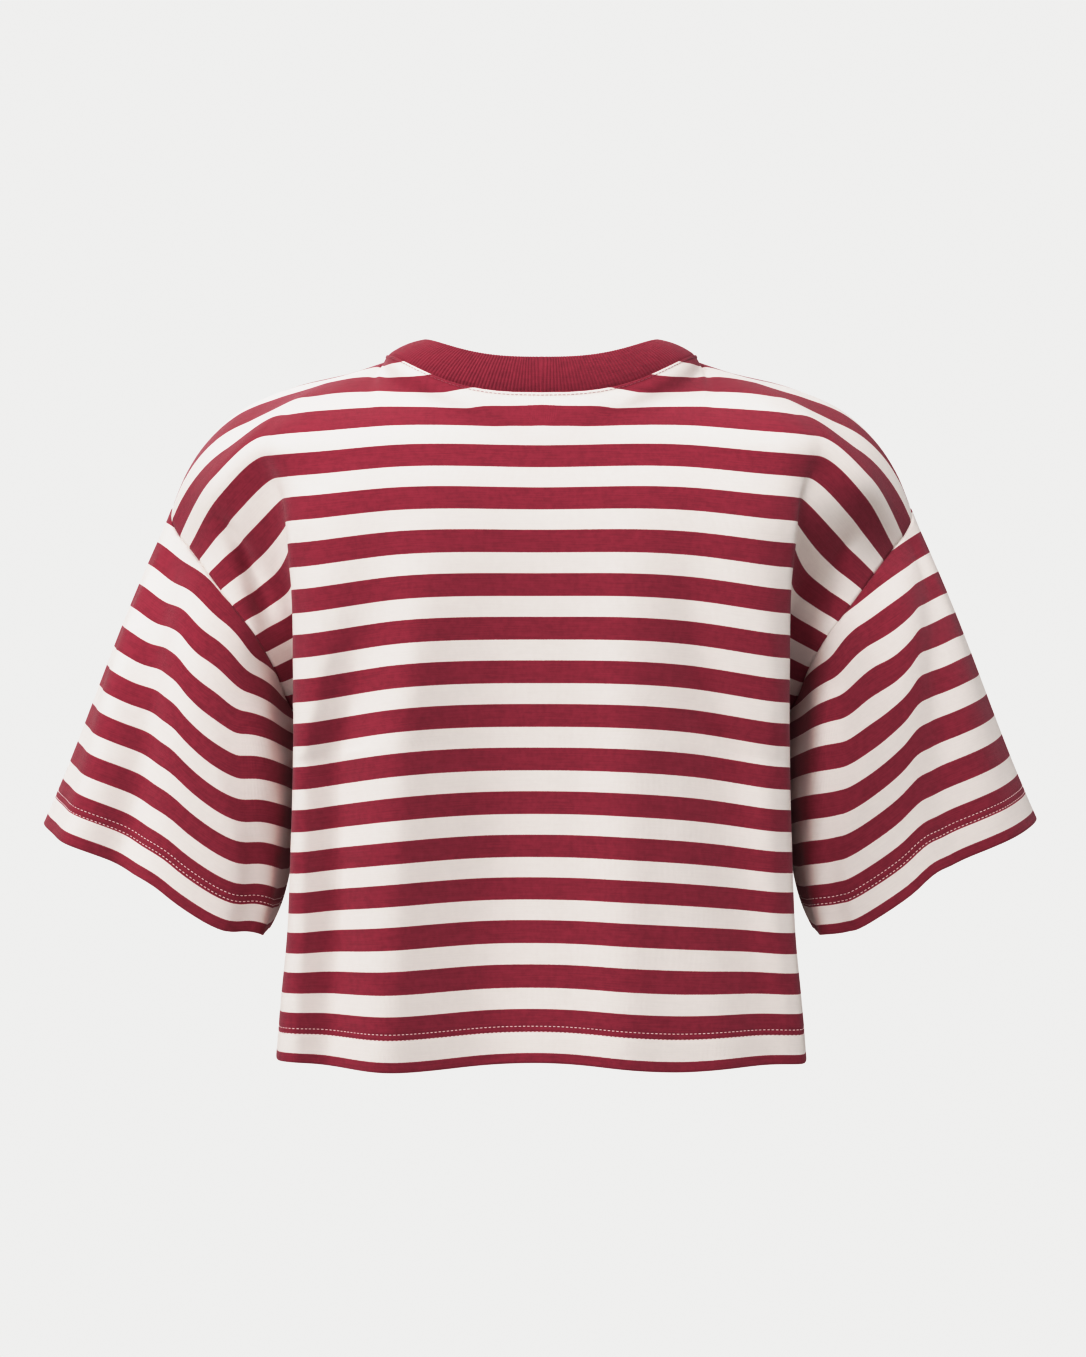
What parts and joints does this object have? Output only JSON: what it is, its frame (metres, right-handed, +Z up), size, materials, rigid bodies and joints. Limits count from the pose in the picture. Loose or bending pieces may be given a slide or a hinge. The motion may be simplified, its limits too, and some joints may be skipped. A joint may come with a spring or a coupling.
{
  "type": "crop top",
  "caption": "Boxy cropped T-shirt with dropped shoulders, short wide sleeves and a ribbed crew neck, filled out as if worn.",
  "frame": {"origin": "middle of the neck opening, level with the neck's sides, where the wearer's neck and shoulders hold the garment up", "axes": "+Z up; the front faces -Y and the back +Y; +X towards the wearer's left"},
  "size_m": [0.6369, 0.2347, 0.4632],
  "materials": {
    "back_knit": "cotton jersey, crimson and off-white stripes",
    "front_knit": "cotton jersey, crimson and off-white stripes",
    "sleeve_left_knit": "cotton jersey, crimson and off-white stripes",
    "sleeve_right_knit": "cotton jersey, crimson and off-white stripes",
    "collar_rib": "crimson rib knit"
  },
  "bodies": {
    "root": {"back": "back_knit", "front": "front_knit", "sleeve_left": "sleeve_left_knit", "sleeve_right": "sleeve_right_knit", "collar": "collar_rib"}
  },
  "joints": []
}
